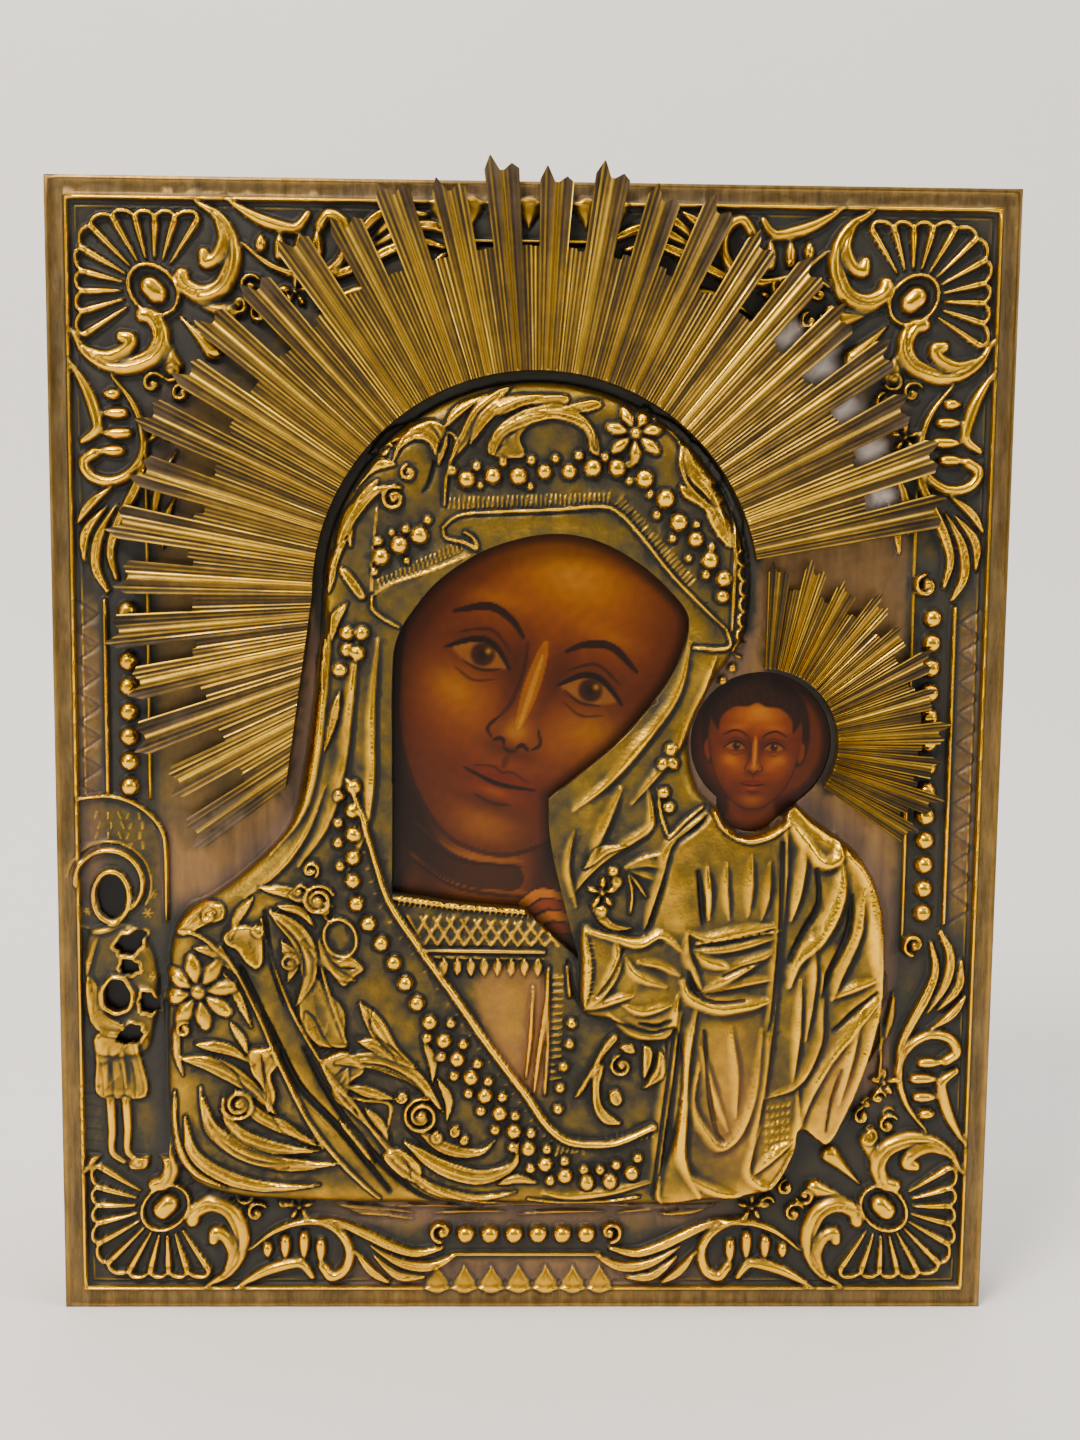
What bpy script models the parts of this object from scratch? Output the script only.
"""Icon panel: a painted board under a repousse brass cover, with two rayed halos.

The panel stands on its lower edge. X runs to the right across its front, Z up, and the front
faces -Y. The relief is drawn in thousandths of a metre on a drawing of the panel's front, with
X = 0 at its middle and Z = 0 at its lower edge, and the drawing is stretched to the panel.
"""

import math

import bpy
import numpy as np

MM = 0.001

# Panel, in metres
PANEL_WIDTH = 0.260
PANEL_HEIGHT = 0.312
BOARD_DEPTH = 0.026
BOARD_CHAMFER = 0.0015
BOARD_SHOWS_BEHIND = 0.001
SHEET = 0.0006
CLEARANCE = 0.0003
GROUND_THICKNESS = 0.0009
SHELL_THICKNESS = 0.0013

# Relief of the cover, in metres
MOTHER_RISE = 0.0046
CHILD_RISE = 0.0064
BODY_EDGE = 0.0055
BEAD_DIAMETER = 0.005
BEAD_PITCH = 0.00685
BEADS_IN_COLUMN = 13
BEADS_IN_ROW = 6
BEAD_INSET = 0.0203
PEARL_DIAMETER = 0.0048
PEARL_PITCH = 0.0065
RIDGE_INSET = 0.0054

# Halos, in metres and degrees
HEAD_RADIUS = 0.0578
CHILD_HEAD_RADIUS = 0.0195
HALO_GAP = 0.0027
HALO_LIFT = 0.0036
HALO_SHEET = 0.0008
HALO_RIDGE = 0.0014
FORK_DEPTH = 0.0045
LARGE_SLOT_REACH = 0.093
LARGE_TIP_REACH = 0.1145
SMALL_SLOT_REACH = 0.043
SMALL_TIP_REACH = 0.0505
TIP_STAGGER = 0.00225
LARGE_PITCH = 7.5
SMALL_PITCH = 11.7
PRONG_SHARE = 0.66
TIPS_TO_LONG = 2
SMALL_HALO_GAP = 0.0012
SHORTEST_FLUTES = 0.006
SHORTEST_PRONG = 0.004
FOLD = 0.00015

# Fineness of the solids
RELIEF_STEP = 1.25
FINEST_RIB = 2.1
COVER_TRIANGLES = 6300
LARGE_HALO_TRIANGLES = 2000
SMALL_HALO_TRIANGLES = 900

# The drawing that the relief is laid out on, in thousandths of a metre
WIDTH = 260.0
HEIGHT = 312.0
STRETCH_X = PANEL_WIDTH / (WIDTH * MM)
STRETCH_Z = PANEL_HEIGHT / (HEIGHT * MM)
HEAD = (1.0, 202.0)
HEAD_R = HEAD_RADIUS / MM
CHILD = (63.5, 162.5)
CHILD_R = CHILD_HEAD_RADIUS / MM
BEAD_R = BEAD_DIAMETER / MM / 2
PEARL_R = PEARL_DIAMETER / MM / 2
FACE_WINDOW_SIDE = -38.0

# Places of the board and the cover from front to back, set from the ground's front at 0
GROUND_BACK = GROUND_THICKNESS
BOARD_FRONT = GROUND_BACK + CLEARANCE
BOARD_BACK = BOARD_FRONT + BOARD_DEPTH
SKIRT_BACK = BOARD_BACK - BOARD_SHOWS_BEHIND


def spline(points, per_span=6):
    """Catmull-Rom curve through the points."""
    p = np.asarray(points, float)
    p = np.vstack([2 * p[0] - p[1], p, 2 * p[-1] - p[-2]])
    t = np.linspace(0, 1, per_span, endpoint=False)[:, None]
    spans = []
    for a, b, c, d in zip(p, p[1:], p[2:], p[3:]):
        cubic = 2 * b + (c - a) * t
        cubic = cubic + (2 * a - 5 * b + 4 * c - d) * t**2 + (3 * b - a - 3 * c + d) * t**3
        spans.append(cubic / 2)
    return np.vstack(spans + [p[-2:-1]])


def loop(points, per_span=6):
    """Closed Catmull-Rom curve through the points."""
    p = list(points)
    return spline(p[-2:] + p + p[:2], per_span)[2 * per_span:-per_span]


def arc(x, z, radius, start, end, end_radius=None, count=16):
    """Arc about a centre between two angles in degrees, or a spiral where its two radii differ."""
    angle = np.radians(np.linspace(start, end, count))
    reach = np.linspace(radius, radius if end_radius is None else end_radius, count)
    return np.column_stack([x + reach * np.cos(angle), z + reach * np.sin(angle)])


def oval(x, z, a, b, tilt=0.0, count=20):
    """Closed ellipse with half-axes a and b, turned by tilt degrees."""
    angle = np.linspace(0, 2 * math.pi, count + 1)[:-1]
    c, s = math.cos(math.radians(tilt)), math.sin(math.radians(tilt))
    u, v = a * np.cos(angle), b * np.sin(angle)
    return np.column_stack([x + u * c - v * s, z + u * s + v * c])


def closed(path):
    return np.vstack([path, path[:1]])


def bow(x0, z0, x1, z1, bend):
    """Line between two points, bowed sideways by bend."""
    a, b = np.array([x0, z0], float), np.array([x1, z1], float)
    side = np.array([a[1] - b[1], b[0] - a[0]]) / np.hypot(*(b - a))
    t = np.linspace(0, 1, 9)[:, None]
    return a + (b - a) * t + side * bend * 4 * t * (1 - t)


class Relief:
    """Height field over the drawing: the body forms, the raised work on them and the grooves."""

    def __init__(self, step, finest):
        self.x = np.linspace(-WIDTH / 2, WIDTH / 2, round(WIDTH / step) + 1)
        self.z = np.linspace(0, HEIGHT, round(HEIGHT / step) + 1)
        self.X, self.Z = np.meshgrid(self.x, self.z)
        self.layers = {name: np.zeros_like(self.X) for name in ("body", "raised", "sunk")}
        self.finest = finest

    def window(self, path, reach):
        """The part of the grid within reach of a path."""
        low, high = path.min(0) - reach, path.max(0) + reach
        columns = np.searchsorted(self.x, (low[0], high[0]))
        rows = np.searchsorted(self.z, (low[1], high[1]))
        return slice(*rows), slice(*columns)

    def lift(self, layer, part, value):
        field = self.layers[layer]
        field[part] = np.maximum(field[part], value)

    def nearest(self, path, part):
        """Distance to the path, and the share of the path's length at the nearest point."""
        X, Z = self.X[part], self.Z[part]
        steps = np.diff(path, axis=0)
        sizes = np.hypot(*steps.T)
        run = np.concatenate([[0], np.cumsum(sizes)]) / sizes.sum()
        best = np.full(X.shape, np.inf)
        share = np.zeros(X.shape)
        for a, step, size, begin, end in zip(path, steps, sizes, run, run[1:]):
            if size < 1e-9:
                continue
            t = np.clip(((X - a[0]) * step[0] + (Z - a[1]) * step[1]) / size**2, 0, 1)
            d = (X - a[0] - t * step[0])**2 + (Z - a[1] - t * step[1])**2
            closer = d < best
            best[closer] = d[closer]
            share[closer] = (begin + t * (end - begin))[closer]
        return np.sqrt(best), share

    def inside(self, path, part):
        """True where a grid point lies inside a closed path, by counting the crossings to its right."""
        X, Z = self.X[part], self.Z[part]
        odd = np.zeros(X.shape, bool)
        for (xa, za), (xb, zb) in zip(path, np.roll(path, -1, axis=0)):
            if za != zb:
                odd ^= ((za > Z) != (zb > Z)) & (X < (xb - xa) * (Z - za) / (zb - za) + xa)
        return odd

    def signed(self, path, limit=8.0):
        """Distance from a closed path, positive inside it and at most limit outside it."""
        part = self.window(path, limit)
        field = np.full(self.X.shape, -limit)
        distance, _ = self.nearest(closed(path), part)
        field[part] = np.where(self.inside(path, part), distance, -np.minimum(distance, limit))
        return field

    def form(self, path, height, edge):
        """Body form, flat on top with a quarter-round edge. Returns where it lies."""
        field = self.signed(path)
        rise = np.clip(field / edge, 0, 1)
        self.lift("body", ..., height * np.sqrt(1 - (1 - rise)**2))
        return field

    def rib(self, path, widths, height, layer="raised"):
        """Rounded rib along a path. The widths are those at its start, middle and end."""
        path = np.asarray(path, float)
        first, middle, last = (widths,) * 3 if np.isscalar(widths) else widths
        widest = max(first, middle, last, self.finest)
        part = self.window(path, widest)
        distance, s = self.nearest(path, part)
        width = first * (1 - s) * (1 - 2 * s) + 4 * middle * s * (1 - s) + last * s * (2 * s - 1)
        half = np.maximum(width, self.finest) / 2
        section = np.clip(1 - (distance / half)**2, 0, 1)**0.6
        self.lift(layer, part, height * section * np.sqrt(np.minimum(1, 2 * half / widest)))

    def groove(self, path, widths, depth):
        self.rib(path, widths, depth, "sunk")

    def leaf(self, path, width, height):
        """Leaf along its vein: widest before its middle, and dished between vein and rim."""
        path = np.asarray(path, float)
        part = self.window(path, width)
        distance, s = self.nearest(path, part)
        swell = np.sin(math.pi * np.clip(s, 0.02, 0.98)**0.8)**0.8
        across = distance / (np.maximum(width * swell, self.finest) / 2)
        rim = np.sqrt(np.clip(1 - across**6, 0, 1)) * (0.62 + 0.38 * np.clip(across, 0, 1)**2)
        vein = 0.3 * np.exp(-(distance / 0.55)**2)
        self.lift("raised", part, height * np.where(across < 1, rim + vein, 0))

    def bead(self, x, z, radius, height):
        """Domed bead."""
        part = self.window(np.array([[x, z]]), radius)
        r = np.hypot(self.X[part] - x, self.Z[part] - z) / max(radius, self.finest * 0.6)
        self.lift("raised", part, height * np.sqrt(np.clip(1 - r**2, 0, 1)))

    def chain(self, path, pitch, radius, height):
        """Beads at an even pitch along a path, from its start."""
        path = np.asarray(path, float)
        run = np.concatenate([[0], np.cumsum(np.hypot(*np.diff(path, axis=0).T))])
        for at in np.arange(0, run[-1] + 1e-6, pitch):
            self.bead(np.interp(at, run, path[:, 0]), np.interp(at, run, path[:, 1]), radius, height)

    def curl(self, x, z, radius, start, turns=1.3, width=1.6, height=2.0, way=1):
        """Small spiral that winds into a bead at its centre."""
        path = arc(x, z, radius, start, start + way * 360 * turns, radius * 0.35, int(14 * turns) + 4)
        self.rib(path, (width * 0.7, width, width), height)
        self.bead(x, z, max(radius * 0.35, 0.8), height)

    def flower(self, x, z, radius, petals):
        self.bead(x, z, radius * 0.27, 2.2)
        for k in range(petals):
            angle = 360 * (k + 0.25) / petals
            ends = np.vstack([arc(x, z, radius * share, angle, angle, count=1) for share in (0.38, 1.02)])
            self.rib(ends, (radius * 0.3, radius * 0.5, radius * 0.5), 2.0)

    def acanthus(self, x, z, radius, start, way):
        """Acanthus scroll: a spiral stem, with three leaves that sweep round it."""
        self.curl(x, z, radius, start, 1.4, 1.8, 2.0, way)
        for k, (reach, sweep, width) in enumerate(((1.55, 150, 2.6), (2.1, 140, 3.4), (2.7, 105, 3.8))):
            begin = start - way * (40 + 25 * k)
            path = arc(x, z, radius * reach, begin, begin + way * sweep, radius * (reach - 0.35), 18)
            self.rib(path, (1.0, width, 1.6), 1.9)
            self.groove(path[3:-3], (0.4, 0.9, 0.4), 0.6)

    def height(self):
        return self.layers["body"] + self.layers["raised"] - self.layers["sunk"]


class Corner:
    """A corner of the border. u runs in from its side edge, v in from its top or bottom edge,
    and the two change places for the half of the corner's work that runs along the other edge."""

    def __init__(self, side, top, swap=False):
        self.side, self.top, self.swap = side, top, swap

    def place(self, points):
        p = np.asarray(points, float)
        if self.swap:
            p = p[:, ::-1]
        z = HEIGHT - p[:, 1] if self.top else p[:, 1]
        return np.column_stack([self.side * (WIDTH / 2 - p[:, 0]), z])

    def spot(self, u, v):
        return self.place([(u, v)])[0]

    def turn(self):
        """1 or -1: which way round a spiral runs here."""
        return self.side * (1 if self.top else -1) * (-1 if self.swap else 1)


BOSS = (28.5, 29.5)
BOSS_RING = 8.5
FLUTES = 10
FAN_FIRST, FAN_LAST = 147.0, 303.0
FAN_SIDE, FAN_END = 9.0, 10.0


def palmette(relief, side, top):
    """Corner palmette: a fan of flutes round an oval boss, three petals and two scrolls."""
    corner = Corner(side, top)
    boss = np.array(BOSS)

    def fan_reach(angle):
        """Distance from the boss to the fan's rim, a rounded square close to the panel's edges."""
        c, s = abs(math.cos(angle)), abs(math.sin(angle))
        square = ((c / (boss[0] - FAN_SIDE))**5 + (s / (boss[1] - FAN_END))**5)**-0.2
        return min(square, 23.5) - 1.1

    def at(angle, reach):
        return boss + reach * np.array([math.cos(angle), math.sin(angle)])

    edges = np.radians(np.linspace(FAN_FIRST, FAN_LAST, FLUTES + 1))
    for angle in edges:
        relief.rib(corner.place([at(angle, BOSS_RING), at(angle, fan_reach(angle))]), (0.9, 1.3, 1.6), 2.2)
    half_turn = np.linspace(0, math.pi, 9)[:, None]
    for low, high in zip(edges, edges[1:]):
        ends = at(low, fan_reach(low)), at(high, fan_reach(high))
        middle, half = (ends[0] + ends[1]) / 2, (ends[1] - ends[0]) / 2
        outward = at((low + high) / 2, 0.8 * np.hypot(*half)) - boss
        scallop = middle - half * np.cos(half_turn) + outward * np.sin(half_turn)
        relief.rib(corner.place(scallop), 1.5, 2.3)
    relief.rib(corner.place(closed(oval(*BOSS, 7.4, 5.4, 45))), 1.5, 2.6)
    relief.rib(corner.place(closed(oval(*BOSS, 3.4, 2.0, 45))), 1.7, 2.8)
    relief.bead(*corner.spot(*BOSS), 2.4, 2.6)
    for angle in (16, 45, 76):
        near, far = math.radians(angle), 20.5 + 1.5 * (angle == 45)
        relief.rib(corner.place([at(near, 9.7), at(near, far)]), (1.0, 2.6, 4.2), 2.8)
    for swap in (False, True):
        half = Corner(side, top, swap)
        scroll = spline([(40, 6.5), (46.5, 11), (49.8, 19), (47.5, 27.5), (42, 30.5), (37, 28.5), (36, 25.5)])
        relief.rib(half.place(scroll), (1.2, 3.6, 3.6), 3.0)
        relief.groove(half.place(scroll[9:-5] - (0.6, 0)), (0.5, 1.2, 0.8), 0.9)
        tongue = spline([(44.5, 10), (47, 15.5), (45.5, 20.5), (42.5, 22.3), (41.8, 19.8)])
        relief.rib(half.place(tongue), (1.0, 2.6, 2.2), 2.6)


def barred_scroll(relief, side, top, swap):
    """Scroll beside a palmette: a C with four bars in it, a leaf at its back and small curls."""
    corner = Corner(side, top, swap)
    c_shape = [(17, 52), (23, 60), (25.5, 69), (23.5, 76), (17.5, 80), (11.5, 79), (9.3, 75), (12.5, 72.5)]
    relief.rib(corner.place(spline(c_shape)), (1.2, 2.4, 2.6), 2.8)
    for u, v, reach in ((15, 57, 3), (14.5, 62, 5.5), (14.5, 67.3, 6.5), (13.5, 72, 5.5)):
        relief.rib(corner.place([(u, v), (u + reach, v)]), (1.4, 2.4, 3.0), 2.6)
    relief.rib(corner.place(spline([(5.8, 48), (10.5, 56), (13, 64), (12.5, 67), (9, 69.5)])), (1.0, 1.8, 1.8), 2.4)
    for u, v, radius, start in ((33, 51, 2.6, 200), (35.5, 56.5, 2.4, 90), (31, 62, 2.2, 0), (28, 54, 3.0, 30)):
        relief.curl(*corner.spot(u, v), radius, start, 0.9, 1.5, 2.4)


def spray(relief, side, top, swap):
    """Spray of four blades between a barred scroll and the beads, ending in a curl."""
    corner = Corner(side, top, swap)
    blades = (
        ([(7.5, 91), (11, 86), (17, 81.5)], 2.0),
        ([(9, 101), (9.5, 94), (15, 87)], 2.4),
        ([(15, 109.5), (12, 103), (13, 95), (18, 86)], 2.6),
        ([(17.5, 106), (16, 99), (18, 92), (21.5, 85), (25, 77), (26.5, 68)], 2.6),
    )
    for points, width in blades:
        path = corner.place(spline(points))
        relief.rib(path, (width, width, 0.8), 2.5)
        relief.groove(path[2:-4], (0.4, 0.8, 0.4), 0.7)
    relief.curl(*corner.spot(22.5, 106.0), 3.2, 90 if top else 270, 1.0, 2.0, 2.8, corner.turn())


def side_column(relief, side):
    """Beads between two straight ridges up the middle of a side."""
    x, middle = side * (WIDTH / 2 - BEAD_INSET / MM), HEIGHT / 2
    half = (BEADS_IN_COLUMN - 1) / 2 * BEAD_PITCH / MM
    relief.chain([(x, middle - half), (x, middle + half)], BEAD_PITCH / MM, BEAD_R, 3.0)
    relief.rib([(side * 115.8, 112), (side * 115.8, 200)], 1.5, 1.8)
    relief.rib([(side * 104.3, 104), (side * 104.3, 246)], 1.1, 1.2)


def centre_row(relief, top):
    """Beads over a straight ridge and a row of teeth, in the middle of the top or bottom."""
    def up(v):
        return HEIGHT - v if top else v

    half = (BEADS_IN_ROW - 1) / 2 * BEAD_PITCH / MM
    relief.chain([(-half, up(21.6)), (half, up(21.6))], BEAD_PITCH / MM, BEAD_R, 3.0)
    relief.rib([(-21, up(15.6)), (21, up(15.6))], 1.3, 1.6)
    for k in range(-5, 6):
        relief.rib([(k * 5.6, up(8.0)), (k * 5.6, up(12.0))], (4.2, 2.4, 0.6), 1.7)


def border(relief):
    """Edge ridges, four palmettes, and the scrolls, sprays and beads between them."""
    inset = np.minimum(WIDTH / 2 - abs(relief.X), HEIGHT / 2 - abs(relief.Z - HEIGHT / 2))
    across = (inset - RIDGE_INSET / MM) / (relief.finest / 2)
    relief.lift("raised", ..., 2.0 * np.clip(1 - across**2, 0, 1)**0.6)
    relief.lift("body", ..., 0.7 * np.clip(1 + RIDGE_INSET / MM - inset, 0, 1))
    for side in (-1, 1):
        for top in (True, False):
            palmette(relief, side, top)
            for swap in (False, True):
                if (side, top, swap) != CARTOUCHE_PLACE:
                    barred_scroll(relief, side, top, swap)
                    spray(relief, side, top, swap)
        side_column(relief, side)
    centre_row(relief, True)
    centre_row(relief, False)


CARTOUCHE_PLACE = (-1, False, False)
CARTOUCHE_RIGHT, CARTOUCHE_LOW, CARTOUCHE_TOP = -100.0, 44.0, 146.0
# openings for face, hands and sleeves: x, z, half-axes and tilt
CARTOUCHE_HOLES = (
    (-115.4, 118.2, 3.9, 6.0, 0),
    (-110.2, 105.4, 4.4, 2.8, 35),
    (-110.6, 98.6, 2.6, 2.2, 0),
    (-114.0, 90.6, 3.7, 4.6, 0),
    (-105.2, 88.4, 2.6, 3.2, 30),
    (-110.6, 79.4, 3.8, 2.5, 25),
)


def cartouche(relief):
    """Arched field with a small haloed standing figure, in the lower left of the border."""
    field = (relief.X < CARTOUCHE_RIGHT) & (relief.X > -WIDTH / 2 + RIDGE_INSET / MM + 1)
    field &= (relief.Z > CARTOUCHE_LOW) & (relief.Z < CARTOUCHE_TOP)
    relief.layers["raised"][field] = 0
    relief.layers["sunk"][field] = 0
    arch = spline([(-124, 145.5), (-116, 146.3), (-110, 145), (-104.5, 141.5), (-101, 136.5), (-100.2, 130),
                   (-100.2, 112)])
    relief.rib(arch, (1.2, 1.6, 1.2), 2.0)
    relief.rib(arc(-116, 122, 9.3, -50, 185, count=24), (1.6, 2.0, 1.4), 1.9)
    robe = loop([(-118, 110), (-124, 106), (-125, 90), (-122, 72), (-121, 60), (-108, 60), (-105, 70),
                 (-101.5, 84), (-102, 100), (-107, 108), (-111, 111)])
    relief.form(robe, 1.8, 2.0)
    folds = (
        ((-124, 110), (-118, 108.5), (-112, 110.5)),
        ((-121, 85), (-121.5, 76), (-118, 72), (-112, 76)),
        ((-120, 61), (-114, 60), (-108, 62)),
        ((-117, 72), (-117.5, 62)),
        ((-113, 72), (-112, 62)),
        ((-119, 107), (-122, 96), (-121, 88)),
    )
    for points in folds:
        relief.rib(spline(points), (0.9, 1.5, 0.9), 1.2)
    for x in (-115.5, -112.0):
        relief.rib(spline([(x + 0.5, 59), (x, 50), (x, 44.5), (x + 3.6, 42.5)]), (1.8, 2.0, 2.0), 1.8)
    for x, z, a, b, tilt in CARTOUCHE_HOLES:
        relief.rib(closed(oval(x, z, a + 1, b + 1, tilt)), 1.5, 1.5)


MOTHER = (
    (-57.5, 190), (-59.5, 172), (-62, 155), (-66, 139), (-75, 129), (-84, 121.5), (-94, 114.5), (-98.5, 107),
    (-100, 90), (-100, 60), (-97, 42), (-86, 34), (-60, 31.5), (-20, 31), (20, 31), (60, 33), (62, 60),
    (62, 120), (56, 140), (46, 150), (43.5, 165), (49, 178), (55, 187),
)
HEM = (
    (-50, 152), (-46, 142), (-42, 128), (-38.5, 118), (-30, 105), (-20, 91), (-14, 82), (-6, 71), (0, 63),
    (5, 55.5), (10, 51), (16, 49.5), (25, 50), (35, 54.5),
)
ROBE_PEARLS = (
    (-48.5, 150), (-48.5, 131), (-48, 119), (-43, 110), (-37.5, 101.5), (-30.5, 89), (-23, 78.5), (-15.5, 68),
    (-7.5, 58), (0.5, 48), (6, 43), (11.5, 40), (17.5, 38.5), (23.5, 39), (30, 41.5),
)
CROWN_PEARLS = (
    (-40.5, 212), (-36, 216.5), (-30, 219.5), (-24, 228), (-18, 233.5), (-11, 234.8), (-4, 235.3), (3, 236),
    (10, 236.8), (17, 237), (24, 236.3), (30, 233.5), (35.5, 229), (40, 223), (44, 217), (48.5, 211),
    (51.5, 204), (52.5, 197), (52, 190),
)


def mother_outline():
    """Round veil on top, of the head's radius, then the sides, shoulders and robe."""
    return np.vstack([arc(*HEAD, HEAD_R, -10, 180, count=40), spline(MOTHER)])


def mother(relief):
    """Veil and robe of the mother, with hems, folds, pearls and acanthus."""
    field = relief.signed(mother_outline())
    relief.layers["raised"][field > 0] = 0
    relief.layers["sunk"][field > 0] = 0
    relief.form(mother_outline(), MOTHER_RISE / MM, BODY_EDGE / MM)
    hems = (
        (((-51, 152), (-54, 162), (-54.5, 175), (-54, 190), (-50, 207), (-43, 222), (-32, 234)), 2.4, 1.2),
        (HEM, 2.6, 2.0),
        (((-26, 221), (-15, 225), (0, 225.8), (15, 226), (22, 225), (28, 219.5), (36, 211), (44, 203)), 2.6, 1.8),
        (((-26, 221), (-22, 217.5), (-14, 217.5), (-2, 221)), 2.2, 1.4),
        (((-44, 202), (-36, 206.5), (-26, 210), (-17, 214.5)), 2.0, 1.3),
        (((30, 219), (40, 210), (47, 200), (49, 190), (46, 182)), 2.4, 1.3),
        (((-80, 103), (-75, 89), (-68, 74), (-60, 58), (-50, 43.5), (-43, 35)), 2.6, 1.6),
        (((-60, 116), (-57, 104), (-54, 95), (-50, 84), (-44, 72), (-38, 62)), 2.6, 1.6),
        (((-73, 116), (-66, 112), (-61.5, 104), (-60.5, 96), (-64, 90)), 3.8, 2.2),
        (((-66, 33.5), (-20, 33)), 2.2, 1.4),
        (((0, 32.5), (12, 33.5), (24, 33.2), (33, 32)), 2.0, 1.3),
    )
    for points, width, height in hems:
        relief.rib(spline(points), (0.7 * width, width, 0.8 * width), height)
    arm_fold = ((-72, 112), (-66, 98), (-60, 84), (-52, 68), (-42, 50), (-34, 40))
    relief.groove(spline(arm_fold), (1, 2.4, 1.2), 1.6)
    for chain in (ROBE_PEARLS, CROWN_PEARLS):
        relief.chain(spline(chain), PEARL_PITCH / MM, PEARL_R, 2.6)
    crown_jewel(relief)
    relief.flower(-91, 92.5, 8.6, 8)
    relief.acanthus(-83, 62.5, 6.0, 100, -1)
    relief.acanthus(-31, 58, 6.0, 70, -1)
    relief.acanthus(27, 71, 5.5, 120, 1)
    relief.curl(-66, 101, 3.4, 0, 0.8, 1.8, 2.0)
    relief.curl(-63, 121, 3.6, 200, 1.0, 1.6, 1.9)


def crown_jewel(relief):
    """Oval stone under an arch over the brow, with a flower, a scroll and leaves beside it."""
    relief.rib(arc(4, 243, 12.5, 12, 170), 2.0, 2.0)
    relief.rib(closed(oval(5, 243.5, 8.0, 4.2)), 1.6, 1.9)
    relief.bead(5, 243.5, 4.0, 1.4)
    relief.flower(24, 247.5, 6.5, 7)
    relief.acanthus(-14, 246, 5.0, 150, 1)
    relief.curl(-37, 228, 4.0, 60, 1.3, 1.6, 2.0)
    leaves = (
        (-32, 240, -22, 252, 2),
        (-44, 222, -36, 240, 3),
        (34, 240, 44, 232, 2),
        (30, 250, 42, 241, -2),
        (45, 226, 51, 216, 2),
    )
    for x0, z0, x1, z1, bend in leaves:
        relief.leaf(bow(x0, z0, x1, z1, bend), 4.5, 1.6)


CHILD_BODY = (
    (51, 145), (46, 139.5), (39.5, 134.5), (36, 121), (32, 110), (22, 110), (14.5, 112), (14, 100), (15, 88),
    (24, 85), (34, 82), (41, 83), (43, 70), (41, 52), (36, 33.5), (50, 33.5), (64, 35), (70, 38), (75, 48),
    (76.5, 54), (84, 49.5), (90, 60), (95.5, 76), (98.5, 92), (98.5, 108), (96, 121), (91, 131), (84, 137),
    (77, 142), (70.5, 147.5), (68.5, 141), (60, 137), (54, 138.5),
)
# folds of the child's dress: points, width and height
CHILD_FOLDS = (
    (((70.5, 147), (72, 136), (72, 122), (70.5, 108), (69.5, 90)), 2.4, 1.8),
    (((79, 133), (81, 128), (77, 118), (73.5, 108)), 3.0, 1.6),
    (((84, 132), (85, 122), (81, 112), (75, 103), (72, 95)), 3.0, 1.8),
    (((88, 132), (92, 122), (93, 108), (95, 96)), 4.2, 1.8),
    (((86, 120), (88, 108), (85, 98), (86, 92)), 2.6, 1.4),
    (((96, 94), (91, 89), (84, 81), (79, 70), (77, 58)), 3.6, 2.0),
    (((96, 84), (94, 74), (90, 63), (86, 54), (79, 53)), 2.4, 1.6),
    (((44, 108.5), (52, 110), (60, 111.5), (68.5, 113)), 2.6, 1.8),
    (((44, 105), (50, 101), (56, 98.5), (62, 101), (68, 106)), 2.4, 1.7),
    (((44, 97), (50, 93), (58, 92.5), (67, 95.5)), 2.8, 1.7),
    (((43, 92), (49, 88.5), (58, 88), (67, 90.5)), 2.2, 1.5),
    (((61, 131), (61, 115)), 2.0, 1.0),
    (((46, 130), (49, 128), (48.5, 113)), 1.8, 1.2),
    (((46, 85), (45.5, 70), (47, 56), (52, 50), (58, 51), (63, 62), (66, 84)), 2.2, 1.7),
    (((43, 83), (41, 66), (42, 48), (38, 35)), 2.4, 1.7),
    (((80, 97), (80.5, 82), (77, 74), (70, 68)), 2.0, 1.4),
    (((39.5, 134), (36.5, 122), (32.5, 110.5)), 2.0, 1.6),
    (((20, 111), (26, 107.5), (30, 105.3), (38, 100), (41, 97)), 2.4, 1.6),
    (((16, 110), (16.5, 98), (16, 88.5), (24, 92), (30, 95)), 2.2, 1.6),
    (((22, 88), (30, 86), (38, 87), (42, 92)), 2.4, 1.6),
    (((51, 143.5), (54.5, 138.5), (60, 136.3), (65.5, 137.5), (69.5, 141)), 1.6, 1.6),
    (((48, 34.5), (64, 35.5)), 2.0, 1.6),
)


def child(relief):
    """Dress of the child: a raised body with folds, and a rolled cloth end at its feet."""
    field = relief.signed(loop(CHILD_BODY, 5))
    relief.layers["raised"][field > 0.5] = 0
    relief.layers["sunk"][field > 0.5] = 0
    rise = np.clip(field / 3.0, 0, 1)
    low = np.where(field > 0, MOTHER_RISE / MM, 0)
    relief.lift("body", ..., low + (CHILD_RISE - MOTHER_RISE) / MM * np.sqrt(1 - (1 - rise)**2))
    for points, width, height in CHILD_FOLDS:
        relief.rib(spline(points), (0.7 * width, width, 0.7 * width), height)
    for points, depth in (((75, 140), (77, 130), (74, 120)), 1.0), (((89, 118), (86, 104), (84, 90)), 1.2):
        relief.groove(spline(points), (1.0, 2.8, 1.0), depth)
    relief.rib(closed(loop([(64, 40), (66, 45), (73, 51), (74, 47), (73, 41), (68, 37)])), 1.4, 1.4)


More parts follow.
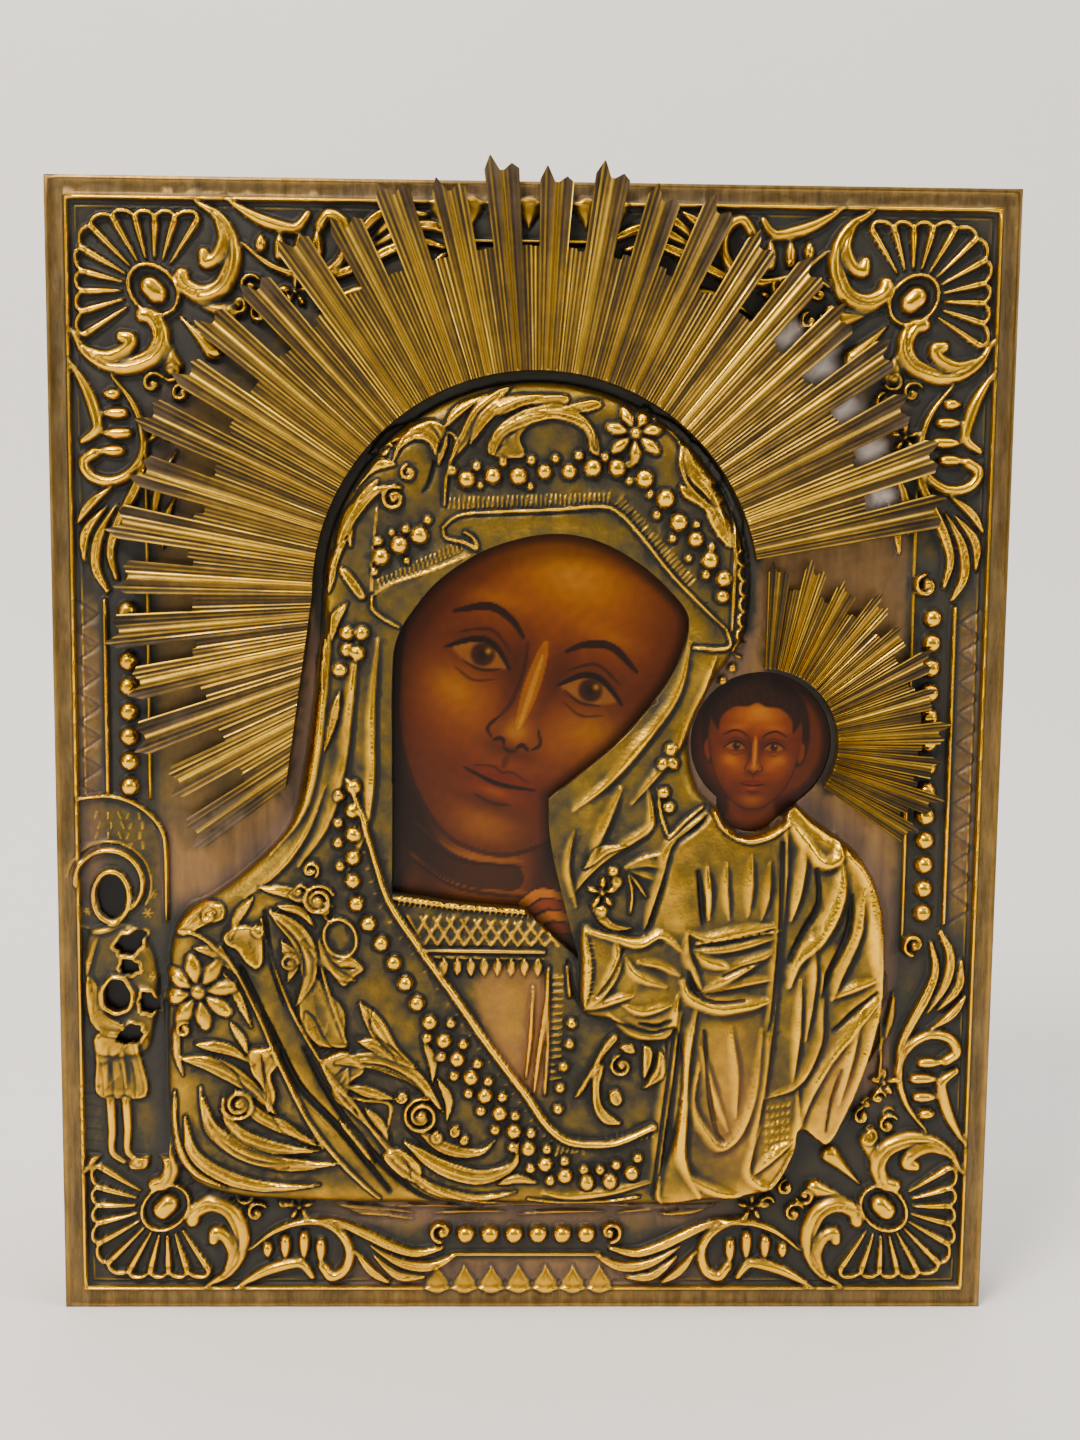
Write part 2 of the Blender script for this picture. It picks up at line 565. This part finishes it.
def mother_window():
    """Opening over the mother's face and hand, with its corners at the neck and the fingers."""
    side = FACE_WINDOW_SIDE
    veil = [(side, 120), (side, 150), (side, 180), (-36.5, 191), (-31, 200), (-24, 207.5), (-12, 215), (3, 219),
            (16, 217.8), (28, 212), (38, 203.5), (42.8, 195.5), (39.5, 183), (32, 171.5), (22, 160.5), (5, 146.5)]
    hand = [(5, 146.5), (5.5, 136), (8.5, 122), (14, 101.5)]
    collar = [(-1.5, 115.8), (-20, 117.3), (side, 120)]
    return np.vstack([spline(veil)[:-1], spline(hand), spline(collar)[:-1]])


def child_window():
    """Round opening over the child's head, with its neck below."""
    neck = spline([(51.5, 144.5), (55, 139.5), (60, 137.5), (65, 138.5), (68.5, 141.5)], 4)
    return np.vstack([arc(*CHILD, CHILD_R, -52, 232, count=40), neck])


def large_inner(angle):
    """Inner reach of the large halo: round over the head, then a straight edge down the veil."""
    radius = HEAD_R + HALO_GAP / MM
    slanted = radius / np.maximum(0.14 * np.sin(angle) - np.cos(angle), 0.2)
    return np.where(angle > math.pi, slanted, radius)


def small_inner(angle):
    return np.full(np.shape(angle), CHILD_R + SMALL_HALO_GAP / MM)


LARGE_HALO = dict(
    centre=HEAD,
    inner=large_inner,
    first=12.7,
    pitch=LARGE_PITCH,
    prongs=28,
    slot=LARGE_SLOT_REACH / MM,
    tip=LARGE_TIP_REACH / MM,
)
SMALL_HALO = dict(
    centre=CHILD,
    inner=small_inner,
    first=-31.0,
    pitch=SMALL_PITCH,
    prongs=11,
    slot=SMALL_SLOT_REACH / MM,
    tip=SMALL_TIP_REACH / MM,
)


def halo_span(halo):
    """First and last angle that a halo covers, in radians."""
    low = halo["first"] - PRONG_SHARE * halo["pitch"] / 2
    high = low + halo["pitch"] * (halo["prongs"] - 1 + PRONG_SHARE)
    return math.radians(low), math.radians(high)


def under_halo(relief, halo, margin=1.5):
    """True where the drawing lies under a halo or within margin of it."""
    x, z = halo["centre"]
    reach = np.hypot(relief.X - x, relief.Z - z)
    angle = np.arctan2(relief.Z - z, relief.X - x)
    low, high = halo_span(halo)
    angle = np.where(angle < low - 0.1, angle + 2 * math.pi, angle)
    spare = margin / np.maximum(reach, 1)
    inside = (angle > low - spare) & (angle < high + spare)
    return inside & (reach > halo["inner"](angle) - 0.6) & (reach < halo["tip"] + TIP_STAGGER / MM + margin)


def clip_mesh(points, triangles, level):
    """The part of a triangle mesh where level is positive, cut along the line where it is zero."""
    level = np.where(abs(level) < 0.06, np.where(level < 0, -0.06, 0.06), level)
    keep = level > 0
    count = keep[triangles].sum(1)
    mixed = triangles[(count == 1) | (count == 2)]
    lone = np.where((keep[mixed].sum(1) == 1)[:, None], keep[mixed], ~keep[mixed])
    turn = (lone.argmax(1)[:, None] + np.arange(3)) % 3
    mixed = np.take_along_axis(mixed, turn, 1)
    a, b, c = mixed.T
    edges = np.sort(np.vstack([mixed[:, [0, 1]], mixed[:, [0, 2]]]), axis=1)
    unique, where = np.unique(edges, axis=0, return_inverse=True)
    where = where.ravel() + len(points)
    ab, ac = where[:len(mixed)], where[len(mixed):]
    low, high = level[unique].T
    share = (low / (low - high))[:, None]
    cuts = points[unique[:, 0]] + share * (points[unique[:, 1]] - points[unique[:, 0]])
    tip = keep[a]
    triangles = np.vstack([
        triangles[count == 3],
        np.column_stack([a, ab, ac])[tip],
        np.column_stack([ab, b, c])[~tip],
        np.column_stack([ab, c, ac])[~tip],
    ])
    used, triangles = np.unique(triangles, return_inverse=True)
    return np.vstack([points, cuts])[used], triangles.reshape(-1, 3)


def rim_edges(triangles):
    """Edges that only one triangle has, each in that triangle's own direction."""
    edges = np.vstack([triangles[:, [0, 1]], triangles[:, [1, 2]], triangles[:, [2, 0]]])
    _, first, count = np.unique(np.sort(edges, axis=1), axis=0, return_index=True, return_counts=True)
    return edges[first[count == 1]]


def wall(edges, upper, lower):
    """Quads down from the rim, between two copies of its vertices."""
    a, b = edges.T
    return np.column_stack([b + upper, a + upper, a + lower, b + lower])


def make_object(name, points, triangles, quads, colour, roughness, metallic):
    mesh = bpy.data.meshes.new(name)
    faces = [tuple(face) for face in triangles.tolist()] + [tuple(face) for face in quads.tolist()]
    mesh.from_pydata(points.tolist(), [], faces)
    mesh.validate()
    mesh.update()
    made = bpy.data.objects.new(name, mesh)
    bpy.context.scene.collection.objects.link(made)
    material = bpy.data.materials.new(name)
    material.use_nodes = True
    shader = material.node_tree.nodes["Principled BSDF"]
    shader.inputs["Base Color"].default_value = (*colour, 1)
    shader.inputs["Roughness"].default_value = roughness
    shader.inputs["Metallic"].default_value = metallic
    mesh.materials.append(material)
    return made


def thin_out(made, triangles_wanted):
    """Joins the faces that matter least until about as many triangles are left as wanted."""
    modifier = made.modifiers.new("thin out", "DECIMATE")
    modifier.decimate_type = "COLLAPSE"
    modifier.use_collapse_triangulate = True
    have = sum(len(face.vertices) - 2 for face in made.data.polygons)
    modifier.ratio = min(1.0, triangles_wanted / have)


def to_panel(points, depth):
    """Drawing points and depths behind the ground's front, as panel coordinates in metres."""
    return np.column_stack([points[:, 0] * MM * STRETCH_X, depth, points[:, 1] * MM * STRETCH_Z])


def cover_relief():
    relief = Relief(RELIEF_STEP, FINEST_RIB)
    border(relief)
    cartouche(relief)
    mother(relief)
    child(relief)
    height = np.maximum(relief.height(), -0.2)
    for halo in (LARGE_HALO, SMALL_HALO):
        room = (HALO_LIFT - 2 * CLEARANCE) / MM - 0.1
        collar = under_halo(relief, halo, 0.6)
        height = np.where(collar, np.minimum(height, room), height)
        height = np.where(collar & near_inner(relief, halo), 0, height)
    return relief, height


def near_inner(relief, halo, width=2.6):
    """True near a halo's inner edge, where its turned-down collar stands on the ground."""
    x, z = halo["centre"]
    angle = np.arctan2(relief.Z - z, relief.X - x)
    angle = np.where(angle < halo_span(halo)[0] - 0.1, angle + 2 * math.pi, angle)
    return np.hypot(relief.X - x, relief.Z - z) < halo["inner"](angle) + width


def lowest_near(field, cells):
    """Lowest value within a number of cells of each grid point, along both axes."""
    low = field.copy()
    for axis in (0, 1):
        spread = low.copy()
        for shift in range(-cells, cells + 1):
            spread = np.minimum(spread, np.roll(low, shift, axis=axis))
        low = spread
    return low


def brass_cover():
    """The sheet cover: relief in front, hollow behind its figures, its sides turned back as a skirt."""
    relief, height = cover_relief()
    rows, columns = relief.X.shape
    index = np.arange(rows * columns).reshape(rows, columns)
    a, b, c, d = index[:-1, :-1], index[:-1, 1:], index[1:, 1:], index[1:, :-1]
    triangles = np.vstack([np.stack(t, -1).reshape(-1, 3) for t in ((a, b, c), (a, c, d))])
    hollow = np.clip(lowest_near(height, 2) - SHELL_THICKNESS / MM, 0, None)
    points = np.column_stack([relief.X.ravel(), relief.Z.ravel(), height.ravel(), hollow.ravel()])
    openings = [mother_window(), child_window()] + [oval(*hole) for hole in CARTOUCHE_HOLES]
    level = -np.maximum.reduce([relief.signed(path) for path in openings]).ravel()
    data = np.column_stack([points, level])
    points, triangles = clip_mesh(data, triangles, level)
    count = len(points)
    flat, rise, hollow = points[:, :2], points[:, 2], points[:, 3]
    edges = rim_edges(triangles)
    on_side = abs(flat[:, 0]) > WIDTH / 2 - 1e-6
    on_end = abs(flat[:, 1] - HEIGHT / 2) > HEIGHT / 2 - 1e-6
    outer = (on_side | on_end)[edges].all(1)
    inner_x = WIDTH / 2 - SHEET / MM / STRETCH_X
    inner_z = SHEET / MM / STRETCH_Z
    tucked = np.column_stack([
        np.clip(flat[:, 0], -inner_x, inner_x),
        np.clip(flat[:, 1], inner_z, HEIGHT - inner_z),
    ])
    front = to_panel(flat, -rise * MM)
    back = to_panel(tucked, GROUND_BACK - hollow * MM)
    skirt_outer = to_panel(flat, np.full(count, SKIRT_BACK))
    skirt_inner = to_panel(tucked, np.full(count, SKIRT_BACK))
    quads = np.vstack([
        wall(edges[~outer], 0, count),
        wall(edges[outer], 0, 2 * count),
        wall(edges[outer], 2 * count, 3 * count),
        wall(edges[outer], 3 * count, count),
    ])
    everything = np.vstack([front, back, skirt_outer, skirt_inner])
    faces = np.vstack([triangles, triangles[:, ::-1] + count])
    used = np.unique(np.concatenate([faces.ravel(), quads.ravel()]))
    renumber = np.zeros(len(everything), int)
    renumber[used] = np.arange(len(used))
    made = make_object("brass_cover", everything[used], renumber[faces], renumber[quads], (0.42, 0.29, 0.10), 0.38, 1.0)
    thin_out(made, COVER_TRIANGLES)
    return made


# section across one prong: place from its middle to its edges at -1 and 1, and height as a share
GROUP_COLUMNS = ((-1.0, 0.55), (-0.58, 0.25), (0.0, 1.0), (0.58, 0.25), (1.0, 0.55))
SLOT_RISE = 0.45


def halo(name, shape, triangles_wanted):
    """Rayed sheet: ridged prongs with forked tips, slots between them, and an inner collar."""
    x, z = shape["centre"]
    columns = []
    for k in range(shape["prongs"]):
        middle = shape["first"] + k * shape["pitch"]
        tip = shape["tip"] + (TIP_STAGGER / MM if k % TIPS_TO_LONG else 0)
        for side, rise in GROUP_COLUMNS:
            turn = side * PRONG_SHARE / 2 * shape["pitch"]
            columns.append((middle + turn, rise, tip - FORK_DEPTH / MM * (1 - abs(side)), True))
        if k < shape["prongs"] - 1:
            columns.append((middle + shape["pitch"] / 2, SLOT_RISE, tip, False))
    angle = np.radians([c[0] for c in columns])
    rise = np.array([c[1] for c in columns]) * HALO_RIDGE / MM
    tip = np.array([c[2] for c in columns])
    prong = np.array([c[3] for c in columns])
    inner = shape["inner"](angle)
    collar = inner + HALO_SHEET / MM
    slot = np.maximum(shape["slot"], inner + SHORTEST_FLUTES / MM)
    tip = np.maximum(tip, slot + SHORTEST_PRONG / MM)
    reaches = np.column_stack([inner, collar, collar + FOLD / MM, slot, tip])
    lift = HALO_LIFT / MM + HALO_SHEET / MM
    tops = lift + rise[:, None] * np.array([0.5, 0.9, 1.0, 1.0, 0.75])
    foot = CLEARANCE / MM
    bottoms = np.tile([foot, foot, HALO_LIFT / MM, HALO_LIFT / MM, HALO_LIFT / MM], (len(angle), 1))
    flat = np.stack([x + reaches * np.cos(angle)[:, None], z + reaches * np.sin(angle)[:, None]], -1)
    index = np.arange(reaches.size).reshape(reaches.shape)
    cells = np.ones((len(angle) - 1, 4), bool)
    cells[:, 3] = prong[:-1] & prong[1:]
    a, b, c, d = index[:-1, :-1], index[:-1, 1:], index[1:, 1:], index[1:, :-1]
    triangles = np.vstack([np.stack(t, -1)[cells] for t in ((a, b, c), (a, c, d))])
    count = reaches.size
    edges = rim_edges(triangles)
    flat = flat.reshape(-1, 2)
    everything = np.vstack([to_panel(flat, -tops.ravel() * MM), to_panel(flat, -bottoms.ravel() * MM)])
    faces = np.vstack([triangles, triangles[:, ::-1] + count])
    quads = wall(edges, 0, count)
    used = np.unique(np.concatenate([faces.ravel(), quads.ravel()]))
    renumber = np.zeros(len(everything), int)
    renumber[used] = np.arange(len(used))
    made = make_object(name, everything[used], renumber[faces], renumber[quads], (0.55, 0.38, 0.11), 0.33, 1.0)
    thin_out(made, triangles_wanted)
    return made


def painted_board():
    """Wooden board inside the cover's skirt, with its long edges broken by a small chamfer."""
    room = SHEET + CLEARANCE
    half = PANEL_WIDTH / 2 - room
    low, high = room, PANEL_HEIGHT - room
    cut = BOARD_CHAMFER
    rings = []
    for depth, inset in ((BOARD_FRONT, 0), (BOARD_BACK - cut, 0), (BOARD_BACK, cut)):
        side, base, top = half - inset, low + inset, high - inset
        rings.append([(-side, depth, base), (side, depth, base), (side, depth, top), (-side, depth, top)])
    points = np.array(rings).reshape(-1, 3)
    quads = [(0, 1, 2, 3), (11, 10, 9, 8)]
    for ring in (0, 4):
        quads += [(ring + k, ring + 4 + k, ring + 4 + (k + 1) % 4, ring + (k + 1) % 4) for k in range(4)]
    return make_object("painted_board", points, np.empty((0, 3), int), np.array(quads), (0.20, 0.11, 0.05), 0.6, 0.0)


def centre_depth(made):
    """Moves everything so that the middle of the whole depth is at Y = 0."""
    graph = bpy.context.evaluated_depsgraph_get()
    depths = []
    for piece in made:
        shape = piece.evaluated_get(graph).to_mesh()
        depths += [vertex.co.y for vertex in shape.vertices]
    middle = (min(depths) + max(depths)) / 2
    for piece in made:
        piece.location.y = -middle


def main():
    for old in list(bpy.data.objects):
        bpy.data.objects.remove(old)
    made = [
        painted_board(),
        brass_cover(),
        halo("large_halo", LARGE_HALO, LARGE_HALO_TRIANGLES),
        halo("small_halo", SMALL_HALO, SMALL_HALO_TRIANGLES),
    ]
    centre_depth(made)


main()
